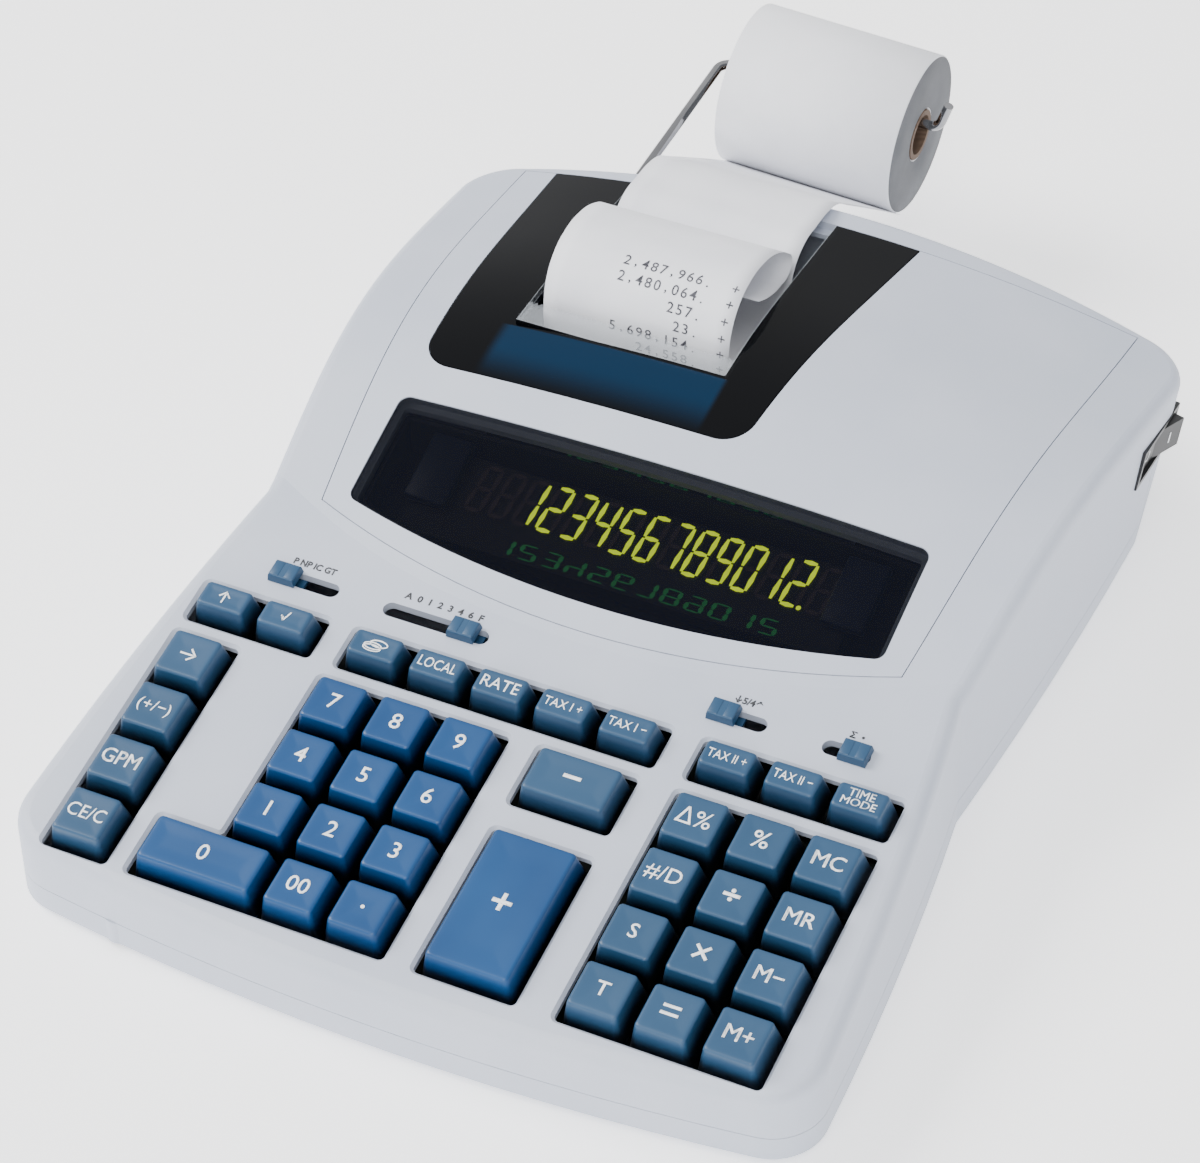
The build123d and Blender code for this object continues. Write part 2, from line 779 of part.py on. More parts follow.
# display module: a dark bezel box under the window and the glass tube inside it
with BuildPart() as bezel_room:
    add(layer(window_t, bezel_depth - bezel_t))
    add(column(window_outline(-2.0 - bezel_t), low=20), mode=Mode.INTERSECT)
display_slope = math.radians(display_tilt)
tube_plane = Plane(origin=(0, y(tube_at), housing_height(tube_at) - tube_depth), x_dir=(1, 0, 0),
                   z_dir=(0, -math.sin(display_slope), math.cos(display_slope)))
with BuildPart() as display_tube:
    add(layer(window_t + 2.4, bezel_depth))
    add(column(window_outline(-2.0), low=20), mode=Mode.INTERSECT)
    add(bezel_room.part, mode=Mode.SUBTRACT)
    with BuildSketch(tube_plane):
        RectangleRounded(tube_w, tube_len, 1.5)
    extrude(amount=-tube_t)
finish(display_tube.part, "display_tube")

# ---------------------------------------------------------------- keys and slide switches
for name, x, along, width, length in keys:
    finish(make_key(name, x, along, width, length), name)

for name, (middle, length, place) in slides.items():
    travel = length - knob_len - slide_end_gap
    knob_plane = deck_plane(middle + (place - 0.5) * travel, slot_along, cap_rise)
    with BuildPart() as knob:
        with BuildSketch(knob_plane.offset(slide_gap)):
            Rectangle(knob_len, knob_w)
        extrude(amount=knob_h - slide_gap, taper=8)
        fillet(knob.faces().sort_by(Axis.Z)[-1].edges(), 0.4)
        with BuildSketch(knob_plane.offset(-wall - slide_gap)):
            Rectangle(knob_len - 3, slide_neck_w)
        extrude(amount=wall + 2 * slide_gap)
        with BuildSketch(knob_plane.offset(-wall - slide_gap - slide_foot_t)):
            Rectangle(knob_len + 2, slide_slot_w + 3)
        extrude(amount=slide_foot_t)
        with BuildSketch(deck_plane(middle + (place - 0.5) * travel, slot_along, board_top - 2.0)):
            Rectangle(slide_stem, slide_stem)
        extrude(amount=board_top - 2.0 - cap_rise - wall - slide_gap - slide_foot_t)
    finish(knob.part, name)

# ---------------------------------------------------------------- electronics
with BuildPart() as main_board:
    with BuildSketch(deck_plane(0, 0, board_under)):
        with Locations((0, (board_low + board_high) / 2)):
            RectangleRounded(2 * board_half, board_high - board_low, 3)
    extrude(amount=board_t)
    for name, x, along, width, length in keys:
        with BuildSketch(deck_plane(x, along, board_top)):
            Rectangle(switch_size, switch_size)
            Circle(stem_r + stem_gap, mode=Mode.SUBTRACT)
        extrude(amount=board_top - switch_top)
    for middle, length, place in slides.values():
        with BuildSketch(deck_plane(middle, slot_along, board_top)):
            Rectangle(length, 6.6)
            Rectangle(length - 2, slide_stem + 0.6, mode=Mode.SUBTRACT)
        extrude(amount=3.6)
    with BuildSketch(deck_plane(0, 8, board_under)):
        with Locations((12, 0), (-30, 0)):
            Rectangle(36, 11)
    extrude(amount=-3.2)
    with BuildSketch(Plane.XY.offset(foot_h + floor_t)):
        with Locations((transformer_x, y(transformer_at))):
            Rectangle(transformer_w, transformer_len)
    extrude(amount=transformer_h)
finish(main_board.part, "main_board")

# ---------------------------------------------------------------- power switch
pocket_len = rocker_len + 2.4
with BuildPart() as switch_housing:
    with BuildSketch(power_plane.offset(power_stand)):
        Rectangle(power_h, power_len)
    extrude(amount=-power_depth)
    with BuildSketch(power_plane.offset(power_stand)):
        Rectangle(rocker_h + 0.6, pocket_len)
    extrude(amount=-pocket_depth, mode=Mode.SUBTRACT)
    with BuildSketch(Plane(origin=pivot, x_dir=power_back, z_dir=power_up)):
        Circle(rocker_pin_r + running_gap)
    extrude(amount=power_h / 2 - 0.4, both=True, mode=Mode.SUBTRACT)
finish(switch_housing.part, "switch_housing")

rock = math.radians(rocker_tilt)
rocker_out = power_out * math.cos(rock) - power_back * math.sin(rock)
rocker_back = power_back * math.cos(rock) + power_out * math.sin(rock)
rocker_plane = Plane(origin=pivot, x_dir=rocker_back, z_dir=rocker_back.cross(rocker_out))
half_rocker = rocker_len / 2
with BuildPart() as power_rocker:
    with BuildSketch(rocker_plane):
        with BuildLine():
            Polyline((-half_rocker, 4.4), (0, 2.6), (half_rocker, 4.4), (half_rocker, 0.6), (3, -3.0),
                     (-3, -3.0), (-half_rocker, 0.6), close=True)
        make_face()
    extrude(amount=rocker_h / 2, both=True)
    with BuildSketch(rocker_plane):
        Circle(rocker_pin_r)
    extrude(amount=power_h / 2 - 0.6, both=True)
finish(power_rocker.part, "power_rocker")

# ---------------------------------------------------------------- print mechanism
unit_z = foot_h + floor_t
unit_left = paper_x - paper_w / 2 - unit_side
unit_right = paper_x + paper_w / 2 + unit_side
unit_mid = (unit_left + unit_right) / 2
with BuildPart() as printer_unit:
    with BuildSketch(Plane.XY.offset(unit_z)):
        with Locations((unit_mid, y((unit_front_at + unit_rear_at) / 2))):
            Rectangle(unit_right - unit_left, unit_rear_at - unit_front_at)
    extrude(amount=unit_t)
    for x in (unit_left, unit_right - unit_t):
        with BuildSketch(Plane.YZ.offset(x)):
            with BuildLine():
                Polyline((y(unit_front_at), unit_z), (y(unit_rear_at), unit_z), (y(unit_rear_at), 40),
                         (y(unit_rear_at - 12), unit_top), (y(unit_front_at), unit_top), close=True)
            make_face()
        extrude(amount=unit_t)
    with BuildSketch(Plane.XZ.offset(-y(unit_front_at))):
        with Locations((unit_mid, (unit_z + head_z) / 2)):
            Rectangle(unit_right - unit_left, head_z - unit_z)
    extrude(amount=-unit_t)
    with BuildSketch(Plane.YZ.offset(unit_left - 1)):
        with Locations((y(platen_at), platen_z)):
            Circle(platen_shaft_r + running_gap)
    extrude(amount=unit_right - unit_left + 2, mode=Mode.SUBTRACT)
    # print head bank behind the front wall, ink cassette on top of it
    with BuildSketch(Plane.XY.offset(head_z - head_h)):
        with Locations((paper_x, y(unit_front_at + unit_t + head_len / 2))):
            Rectangle(paper_w + 4, head_len)
    extrude(amount=head_h)
    with BuildSketch(Plane.XY.offset(head_z)):
        with Locations((paper_x, y(unit_front_at + unit_t + head_len / 2))):
            RectangleRounded(paper_w + 6, head_len - 1, 2)
    extrude(amount=cassette_h)
    # feed motor on the right side plate
    with BuildSketch(Plane.YZ.offset(unit_right)):
        with Locations((y(motor_at), motor_z)):
            Circle(motor_r)
    extrude(amount=motor_len)
finish(printer_unit.part, "printer_unit")

with BuildPart() as platen_roller:
    with BuildSketch(Plane.YZ.offset(paper_x - paper_w / 2 - 1)):
        with Locations((y(platen_at), platen_z)):
            Circle(platen_r)
    extrude(amount=paper_w + 2)
    with BuildSketch(Plane.YZ.offset(unit_left - gear_t - 1)):
        with Locations((y(platen_at), platen_z)):
            Circle(platen_shaft_r)
    extrude(amount=unit_right - unit_left + gear_t + 3)
    with BuildSketch(Plane.YZ.offset(unit_left - gear_t - 1)):
        with Locations((y(platen_at), platen_z)):
            Circle(gear_root_r)
            with PolarLocations(gear_root_r, gear_teeth):
                Rectangle(3.0, 1.5)
    extrude(amount=gear_t)
finish(platen_roller.part, "platen_roller")

# ---------------------------------------------------------------- paper
front_run = platen_at - platen_r - paper_t / 2 - paper_clear
paper_low = platen_z - platen_r - paper_t / 2 - paper_clear
wrap = platen_r + paper_t / 2 + paper_clear
roll_dist = math.hypot(roll_at - lip_at, roll_centre.Z - lip_z)
# the level strip clears the roll at both of its ends, although the roll droops
strip_r = roll_r + paper_w / 2 * math.sin(sag) + paper_t + paper_clear
fall = math.asin(strip_r / roll_dist) - math.atan2(roll_centre.Z - lip_z, roll_at - lip_at)
strip_len = math.sqrt(roll_dist**2 - strip_r**2)
strip_end = (lip_at + strip_len * math.cos(fall), lip_z - strip_len * math.sin(fall))
strip_route = [
    (strip_end, None),
    ((lip_at, lip_z), 6.0),
    ((entry_at, entry_z), 5.0),
    ((entry_at - 8, paper_low), wrap),
    ((front_run, paper_low), wrap),
    ((front_run, curl_top), 13.0),
    ((curl_rear, curl_top - 2.0), 8.5),
    ((curl_rear - 1.5, curl_low), 4.5),
    ((front_run + 20, curl_low + 5.0), None),
]
with BuildPart() as paper_tape:
    with BuildSketch(Plane.YZ.offset(paper_x)):
        with BuildLine():
            FilletPolyline(*[(y(place[0]), place[1]) for place, radius in strip_route],
                           radius=[radius for place, radius in strip_route if radius])
            offset(amount=paper_t, side=Side.LEFT)
        make_face()
    extrude(amount=paper_w / 2, both=True)
finish(paper_tape.part, "paper_tape")

roll_plane = Plane(origin=roll_centre - axle_dir * (paper_w / 2), x_dir=(0, 1, 0), z_dir=axle_dir)
with BuildPart() as paper_roll:
    with BuildSketch(roll_plane):
        Circle(roll_r)
        Circle(core_r, mode=Mode.SUBTRACT)
    extrude(amount=paper_w)
    fillet(paper_roll.edges().filter_by(GeomType.CIRCLE).group_by(SortBy.LENGTH)[-1], 0.4)
with BuildPart() as roll_core:
    with BuildSketch(roll_plane):
        Circle(core_r)
        Circle(core_bore_r, mode=Mode.SUBTRACT)
    extrude(amount=paper_w)
finish(Compound(children=[paper_roll.part, roll_core.part]), "paper_roll")

paper_holder = wire(wire_r)
finish(paper_holder, "paper_holder")
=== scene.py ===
import math

import bmesh
import bpy
from mathutils import Matrix, Quaternion, Vector
from mathutils.bvhtree import BVHTree


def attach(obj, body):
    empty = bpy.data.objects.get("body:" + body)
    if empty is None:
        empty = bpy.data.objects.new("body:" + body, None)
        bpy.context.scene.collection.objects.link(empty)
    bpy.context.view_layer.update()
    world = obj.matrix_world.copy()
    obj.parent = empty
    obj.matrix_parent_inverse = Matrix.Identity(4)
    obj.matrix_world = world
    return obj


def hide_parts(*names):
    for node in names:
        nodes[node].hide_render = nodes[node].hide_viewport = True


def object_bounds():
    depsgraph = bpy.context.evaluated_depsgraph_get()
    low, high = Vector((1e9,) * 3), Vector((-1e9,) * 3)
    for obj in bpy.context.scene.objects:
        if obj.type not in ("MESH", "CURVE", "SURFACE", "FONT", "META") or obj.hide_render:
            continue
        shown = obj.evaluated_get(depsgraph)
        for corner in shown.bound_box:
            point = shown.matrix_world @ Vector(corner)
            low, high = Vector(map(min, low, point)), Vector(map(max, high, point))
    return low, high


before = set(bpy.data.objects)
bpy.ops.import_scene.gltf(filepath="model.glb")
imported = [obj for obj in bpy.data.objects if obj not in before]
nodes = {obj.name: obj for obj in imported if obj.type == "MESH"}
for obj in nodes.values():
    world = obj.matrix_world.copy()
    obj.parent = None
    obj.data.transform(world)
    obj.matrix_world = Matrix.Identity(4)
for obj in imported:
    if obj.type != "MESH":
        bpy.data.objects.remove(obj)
cad_low, cad_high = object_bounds()

# ---------------------------------------------------------------- driving sizes, metres
FRONT_Y = cad_low.y                     # front edge of the case
HOME_AT = 0.0539                        # the 4-5-6 row, behind the front edge
HOME_Z = 0.039                          # height of its key tops
DECK_TILT = math.radians(10)
CAP_H = 0.010
CAP_TAPER = math.radians(10.5)
CAP_CORNER = 0.0018                     # radius of its upright corners at the base
CAP_CORNER_MIN = 0.0006
CORNER_LOSS = 0.35                      # how fast that radius shrinks with the inset
CAP_EDGE = 0.0009                       # radius of its top edge
CORNER_STEPS = 6
EDGE_STEPS = 5
# rings of the dished top: share of the way in, depth
DISH = ((0.1, 0.0), (0.3, 0.00008), (0.5, 0.00016), (0.7, 0.0002))
LEGEND_MARGIN = 0.0012                  # bare cap beside the widest legend, both sides together
LEGEND_T = 0.00006                      # thickness of a printed or moulded mark
INK_LIFT = 0.00005                      # a mark starts this far above its ground
MARK_GRID = 0.0012                      # longest edge of a mark, so that it follows its ground
PAPER_W = 0.057
PAPER_X = -0.0283
PAPER_T = 0.0001
ROLL_R = 0.0247
CORE_R = 0.008
CORE_BORE_R = 0.00625
ROLL_CENTRE = Vector((-0.028584, 0.16585, 0.052009))
ROLL_DROOP = math.radians(3)
LIP_AT = 0.2935                         # where the strip bends over the rear edge
TUBE_AT = 0.152
TUBE_Z = 0.0484
TUBE_TILT = math.radians(18.2)
ROCKER_PIVOT = Vector((0.107654, 0.07125, 0.039593))
LABEL_V = 0.0606                        # the slide labels' line, up the deck from the home row
SLIDES = ("slide_function", "slide_decimal", "slide_rounding", "slide_total")


def place_y(distance):
    """Y of a point so far behind the front edge."""
    return FRONT_Y + distance


deck = Matrix.Translation((0, place_y(HOME_AT), HOME_Z)) @ Matrix.Rotation(DECK_TILT, 4, "X")


# ---------------------------------------------------------------- camera
def make_camera():
    """A long lens, high and to the right of the keyboard."""
    azimuth, elevation, tip = (math.radians(angle) for angle in (26.57, 41.99, -1.46))
    forward = Vector((-math.sin(azimuth) * math.cos(elevation), math.cos(azimuth) * math.cos(elevation),
                      -math.sin(elevation)))
    data = bpy.data.cameras.new("camera")
    data.lens = 129.0
    data.sensor_width = 36.0
    data.clip_start = 0.05
    camera = bpy.data.objects.new("camera", data)
    camera.location = (0.38069, -0.81878, 0.81878)
    camera.rotation_mode = "QUATERNION"
    roll = Quaternion((0, 0, 1), tip)
    camera.rotation_quaternion = forward.to_track_quat("-Z", "Y") @ roll
    bpy.context.scene.collection.objects.link(camera)
    bpy.context.scene.camera = camera


# ---------------------------------------------------------------- material tools
def new_group(name, inputs, outputs):
    """An empty shader group with its sockets."""
    group = bpy.data.node_groups.new(name, "ShaderNodeTree")
    for label, default in inputs:
        socket = group.interface.new_socket(label, in_out="INPUT", socket_type="NodeSocketFloat")
        socket.default_value = default
    for label in outputs:
        group.interface.new_socket(label, in_out="OUTPUT", socket_type="NodeSocketFloat")
    return group, group.nodes.new("NodeGroupInput"), group.nodes.new("NodeGroupOutput")


def make_grain_group():
    """Fine spark-eroded texture: a height for bump and a soft mask for tone."""
    group, source, sink = new_group("moulded_grain", [("Scale", 900.0), ("Mottle Scale", 30.0)],
                                    ["Height", "Mottle"])
    place = group.nodes.new("ShaderNodeTexCoord")
    fine = group.nodes.new("ShaderNodeTexNoise")
    fine.inputs["Detail"].default_value = 3.0
    broad = group.nodes.new("ShaderNodeTexNoise")
    broad.inputs["Detail"].default_value = 4.0
    for noise, scale in ((fine, "Scale"), (broad, "Mottle Scale")):
        group.links.new(place.outputs["Object"], noise.inputs["Vector"])
        group.links.new(source.outputs[scale], noise.inputs["Scale"])
    group.links.new(fine.outputs["Fac"], sink.inputs["Height"])
    group.links.new(broad.outputs["Fac"], sink.inputs["Mottle"])
    return group


GRAIN = make_grain_group()


def start_material(name):
    """A new material: its node tree and its shader."""
    material = bpy.data.materials.new(name)
    material.use_nodes = True
    return material, material.node_tree, material.node_tree.nodes["Principled BSDF"]


def blend_colors(tree, factor, low, high):
    """Colour between two, by a mask."""
    mix = tree.nodes.new("ShaderNodeMix")
    mix.data_type = "RGBA"
    mix.inputs["A"].default_value = (*low, 1)
    mix.inputs["B"].default_value = (*high, 1)
    tree.links.new(factor, mix.inputs["Factor"])
    return mix.outputs["Result"]


def spread(tree, factor, low, high):
    """A value between two, by a mask that mostly lies in the middle."""
    ranged = tree.nodes.new("ShaderNodeMapRange")
    ranged.inputs["From Min"].default_value = 0.3
    ranged.inputs["From Max"].default_value = 0.7
    ranged.inputs["To Min"].default_value = low
    ranged.inputs["To Max"].default_value = high
    tree.links.new(factor, ranged.inputs["Value"])
    return ranged.outputs["Result"]


def add_bump(tree, shader, height, strength, depth):
    """Bump from a height mask."""
    bump = tree.nodes.new("ShaderNodeBump")
    bump.inputs["Strength"].default_value = strength
    bump.inputs["Distance"].default_value = depth
    tree.links.new(height, bump.inputs["Height"])
    tree.links.new(bump.outputs["Normal"], shader.inputs["Normal"])


def moulded(name, low, high, rough, grain=900.0, depth=0.00002, strength=0.3, mottle=30.0, metallic=0.0):
    """Moulded plastic, rubber or metal: two close tones, uneven gloss and a fine grain."""
    material, tree, shader = start_material(name)
    texture = tree.nodes.new("ShaderNodeGroup")
    texture.node_tree = GRAIN
    texture.inputs["Scale"].default_value = grain
    texture.inputs["Mottle Scale"].default_value = mottle
    tone = spread(tree, texture.outputs["Mottle"], 0.0, 1.0)
    tree.links.new(blend_colors(tree, tone, low, high), shader.inputs["Base Color"])
    tree.links.new(spread(tree, texture.outputs["Mottle"], *rough), shader.inputs["Roughness"])
    add_bump(tree, shader, texture.outputs["Height"], strength, depth)
    shader.inputs["Metallic"].default_value = metallic
    return material


def object_axes(tree):
    """Object X, Y and Z."""
    place = tree.nodes.new("ShaderNodeTexCoord")
    split = tree.nodes.new("ShaderNodeSeparateXYZ")
    tree.links.new(place.outputs["Object"], split.inputs["Vector"])
    return split.outputs


def ramp(tree, value, start, end):
    """0 below start, 1 above end, smooth between."""
    ranged = tree.nodes.new("ShaderNodeMapRange")
    ranged.interpolation_type = "SMOOTHSTEP"
    ranged.inputs["From Min"].default_value = start
    ranged.inputs["From Max"].default_value = end
    tree.links.new(value, ranged.inputs["Value"])
    return ranged.outputs["Result"]


def times(tree, first, second):
    """Product of two masks."""
    node = tree.nodes.new("ShaderNodeMath")
    node.operation = "MULTIPLY"
    tree.links.new(first, node.inputs[0])
    tree.links.new(second, node.inputs[1])
    return node.outputs["Value"]


def smoked_cover():
    """Smoked acrylic: black at the sides, a painted blue glow on the front where light comes through, clear tear
    plate.
    """
    material, tree, shader = start_material("smoked_cover")
    axes = object_axes(tree)
    left, right = PAPER_X - PAPER_W / 2 - 0.0036, PAPER_X + PAPER_W / 2 + 0.0036
    beside = times(tree, ramp(tree, axes["X"], left - 0.004, left), ramp(tree, axes["X"], right + 0.002, right))
    front = times(tree, beside, ramp(tree, axes["Y"], place_y(0.2042), place_y(0.2036)))
    # painted light: a blue glow on the cover's front part, between the paper's sides, for light coming through the
    # acrylic
    glow = times(tree, front, ramp(tree, axes["Y"], place_y(0.183), place_y(0.196)))
    inside = times(tree, ramp(tree, axes["X"], left - 0.0002, left), ramp(tree, axes["X"], right + 0.0002, right))
    plate = times(tree, inside, ramp(tree, axes["Y"], place_y(0.2052), place_y(0.2056)))
    color = blend_colors(tree, glow, (0.0006, 0.0008, 0.0015), (0.001, 0.016, 0.042))
    mix = tree.nodes.new("ShaderNodeMix")
    mix.data_type = "RGBA"
    tree.links.new(plate, mix.inputs["Factor"])
    tree.links.new(color, mix.inputs["A"])
    mix.inputs["B"].default_value = (0.75, 0.80, 0.86, 1)
    tree.links.new(mix.outputs["Result"], shader.inputs["Base Color"])
    clear = tree.nodes.new("ShaderNodeMapRange")
    clear.inputs["To Min"].default_value = 0.985
    clear.inputs["To Max"].default_value = 0.14
    tree.links.new(plate, clear.inputs["Value"])
    tree.links.new(clear.outputs["Result"], shader.inputs["Alpha"])
    shader.inputs["Roughness"].default_value = 0.07
    shader.inputs["IOR"].default_value = 1.49
    shader.inputs["Specular IOR Level"].default_value = 0.16
    return material


def smoked_window():
    """Smoked acrylic sheet over the display."""
    material, tree, shader = start_material("smoked_window")
    texture = tree.nodes.new("ShaderNodeGroup")
    texture.node_tree = GRAIN
    texture.inputs["Mottle Scale"].default_value = 12.0
    tone = blend_colors(tree, texture.outputs["Mottle"], (0.001, 0.0015, 0.004), (0.002, 0.003, 0.008))
    tree.links.new(tone, shader.inputs["Base Color"])
    shader.inputs["Alpha"].default_value = 0.6
    shader.inputs["Roughness"].default_value = 0.05
    shader.inputs["Specular IOR Level"].default_value = 0.12
    shader.inputs["IOR"].default_value = 1.49
    return material


def glow(name, color, strength):
    """Glowing phosphor with a slightly uneven coat; also used for a painted glow on unlit segments and for painted
    reflections.
    """
    material, tree, shader = start_material(name)
    texture = tree.nodes.new("ShaderNodeGroup")
    texture.node_tree = GRAIN
    texture.inputs["Mottle Scale"].default_value = 400.0
    dark = tuple(channel * 0.85 for channel in color)
    lit = blend_colors(tree, spread(tree, texture.outputs["Mottle"], 0.0, 1.0), dark, color)
    tree.links.new(lit, shader.inputs["Emission Color"])
    tree.links.new(lit, shader.inputs["Base Color"])
    shader.inputs["Emission Strength"].default_value = strength
    shader.inputs["Roughness"].default_value = 0.6
    return material


def paper_material(name, low, high, rings=0.0):
    """Paper with faint fibres; the ends of a roll show its windings."""
    material, tree, shader = start_material(name)
    texture = tree.nodes.new("ShaderNodeGroup")
    texture.node_tree = GRAIN
    texture.inputs["Scale"].default_value = 1500.0
    texture.inputs["Mottle Scale"].default_value = 60.0
    tone = spread(tree, texture.outputs["Mottle"], 0.0, 1.0)
    height = texture.outputs["Height"]
    if rings:
        place = tree.nodes.new("ShaderNodeTexCoord")
        centre = tree.nodes.new("ShaderNodeMapping")
        centre.inputs["Location"].default_value = tuple(-value for value in ROLL_CENTRE)
        tree.links.new(place.outputs["Object"], centre.inputs["Vector"])
        wave = tree.nodes.new("ShaderNodeTexWave")
        wave.wave_type = "RINGS"
        wave.rings_direction = "X"
        wave.inputs["Scale"].default_value = rings
        wave.inputs["Distortion"].default_value = 1.2
        wave.inputs["Detail Scale"].default_value = 2.0
        tree.links.new(centre.outputs["Vector"], wave.inputs["Vector"])
        tone = times(tree, tone, wave.outputs["Fac"])
        height = wave.outputs["Fac"]
    tree.links.new(blend_colors(tree, tone, low, high), shader.inputs["Base Color"])
    shader.inputs["Roughness"].default_value = 0.82
    add_bump(tree, shader, height, 0.25, 0.00003)
    return material


case_plastic = moulded("case_plastic", (0.47, 0.51, 0.60), (0.51, 0.545, 0.63), (0.42, 0.52), 1300.0, 0.00003, 0.22)
strong_blue = moulded("strong_blue", (0.0, 0.044, 0.150), (0.0, 0.055, 0.178), (0.34, 0.42), 1500.0, 0.00001, 0.2)
slate_blue = moulded("slate_blue", (0.014, 0.056, 0.120), (0.018, 0.066, 0.140), (0.36, 0.44), 1500.0, 0.00001, 0.2)
white_ink = moulded("white_ink", (0.86, 0.88, 0.90), (0.93, 0.94, 0.95), (0.4, 0.5))
dark_ink = moulded("dark_ink", (0.03, 0.032, 0.035), (0.05, 0.05, 0.055), (0.5, 0.6))
print_ink = moulded("print_ink", (0.02, 0.02, 0.03), (0.12, 0.12, 0.14), (0.7, 0.8), mottle=900.0)
black_plastic = moulded("black_plastic", (0.006, 0.006, 0.007), (0.011, 0.011, 0.012), (0.28, 0.4))
bezel_black = moulded("bezel_black", (0.003, 0.003, 0.0035), (0.006, 0.006, 0.007), (0.5, 0.6))
pillar_blue = moulded("pillar_blue", (0.008, 0.014, 0.045), (0.012, 0.020, 0.058), (0.3, 0.4))
rubber = moulded("rubber", (0.012, 0.012, 0.012), (0.02, 0.02, 0.02), (0.7, 0.85), 700.0, 0.00005, 0.4)
wire_chrome = moulded("wire_chrome", (0.26, 0.26, 0.27), (0.42, 0.42, 0.43), (0.08, 0.16), 500.0, metallic=1.0)
plated_steel = moulded("plated_steel", (0.35, 0.35, 0.36), (0.5, 0.5, 0.5), (0.28, 0.42), 600.0, metallic=1.0)
mechanism_dark = moulded("mechanism_dark", (0.004, 0.005, 0.007), (0.007, 0.008, 0.011), (0.45, 0.6))
# painted shade: the board is darkened nearly to black for the shade it lies in
board_painted_shade = moulded("board_painted_shade", (0.002, 0.006, 0.004), (0.003, 0.010, 0.006), (0.4, 0.5))
cover_acrylic = smoked_cover()
window_acrylic = smoked_window()
lit_phosphor = glow("lit_phosphor", (0.78, 1.0, 0.0), 4.2)
# painted reflection: the figures' faint mirror images on the bezel glow green
painted_figure_reflection = glow("painted_figure_reflection", (0.02, 0.30, 0.07), 1.0)
# painted glow: the unlit segments give off a faint light
unlit_phosphor_painted_glow = glow("unlit_phosphor_painted_glow", (0.055, 0.035, 0.032), 0.5)
strip_paper = paper_material("strip_paper", (0.76, 0.77, 0.82), (0.82, 0.83, 0.87))
roll_paper = paper_material("roll_paper", (0.78, 0.79, 0.83), (0.84, 0.85, 0.89))
# painted shade: the roll's ends are coloured far darker than its rim, for how light falls on them
roll_end_painted_shade = paper_material("roll_end_painted_shade", (0.10, 0.105, 0.115), (0.20, 0.205, 0.22), 900.0)
core_board = paper_material("core_board", (0.10, 0.062, 0.04), (0.19, 0.12, 0.08), 1400.0)


# ---------------------------------------------------------------- mesh tools
def add_piece(name, bm, material, body, smooth=True):
    """A finished mesh as an object that rides on a body."""
    mesh = bpy.data.meshes.new(name)
    bm.to_mesh(mesh)
    bm.free()
    mesh.materials.append(material)
    if smooth:
        mesh.shade_smooth()
    piece = bpy.data.objects.new(name, mesh)
    bpy.context.scene.collection.objects.link(piece)
    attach(piece, body)
    return piece


def round_edges(bm, edges, width, segments):
    """Round some edges."""
    bmesh.ops.bevel(bm, geom=edges, offset=width, offset_type="OFFSET", affect="EDGES", segments=segments,
                    profile=0.5, material=-1, clamp_overlap=True)


def block(bm, size, matrix):
    """Add a box in a placed frame; gives its vertices."""
    made = bmesh.ops.create_cube(bm, size=1, matrix=matrix @ Matrix.Diagonal((*size, 1)))
    return made["verts"]


def hollow_out(bm, face, rim):
    """Leave only the rim of a flat face."""
    bmesh.ops.inset_individual(bm, faces=[face], thickness=rim)
    bmesh.ops.delete(bm, geom=[face], context="FACES")


def lettering(text, height, bold=0.0, slant=0.0):
    """Flat letters as a bmesh, centred on the origin, so high."""
    curve = bpy.data.curves.new("lettering", "FONT")
    curve.body = text
    curve.align_x = "CENTER"
    curve.align_y = "CENTER"
    curve.size = height / 0.69
    curve.offset = 0.0 if "M" in text else bold     # its notches turn over when offset
    curve.shear = slant
    curve.space_line = 0.82
    curve.resolution_u = 3
    holder = bpy.data.objects.new("lettering", curve)
    bpy.context.scene.collection.objects.link(holder)
    bpy.context.view_layer.update()
    mesh = bpy.data.meshes.new_from_object(holder.evaluated_get(bpy.context.evaluated_depsgraph_get()))
    bm = bmesh.new()
    bm.from_mesh(mesh)
    bpy.data.meshes.remove(mesh)
    bpy.data.objects.remove(holder)
    bmesh.ops.remove_doubles(bm, verts=bm.verts, dist=1e-6)
    if "M" in text:
        copied = bmesh.ops.duplicate(bm, geom=bm.verts[:] + bm.edges[:] + bm.faces[:])["geom"]
        shifted = [item for item in copied if isinstance(item, bmesh.types.BMVert)]
        bmesh.ops.translate(bm, vec=(2 * bold, bold, 0), verts=shifted)
    return bm


def fit_width(bm, widest):
    """Squeeze letters that are wider than their place."""
    width = max(v.co.x for v in bm.verts) - min(v.co.x for v in bm.verts)
    if width > widest:
        bmesh.ops.scale(bm, vec=(widest / width, 1, 1), verts=bm.verts)


def divide_long(bm, longest):
    """Cut long edges, so that a mark can follow a curved face."""
    for _ in range(3):
        edges = [e for e in bm.edges if e.calc_length() > longest]
        if edges:
            bmesh.ops.subdivide_edges(bm, edges=edges, cuts=1)
    bmesh.ops.triangulate(bm, faces=bm.faces)


def ground_of(*pieces):
    """Surfaces that marks are laid on."""
    bm = bmesh.new()
    graph = bpy.context.evaluated_depsgraph_get()
    for piece in pieces:
        mesh = bpy.data.meshes.new_from_object(piece.evaluated_get(graph))
        bm.from_mesh(mesh)
        bpy.data.meshes.remove(mesh)
    tree = BVHTree.FromBMesh(bm)
    bm.free()
    return tree


def lay_on(bm, ground, along):
    """Drop vertices on a surface along a direction, and keep them just proud of it."""
    for vertex in bm.verts:
        hit = ground.ray_cast(vertex.co, along)[0]
        if hit is not None:
            vertex.co = hit - along * INK_LIFT


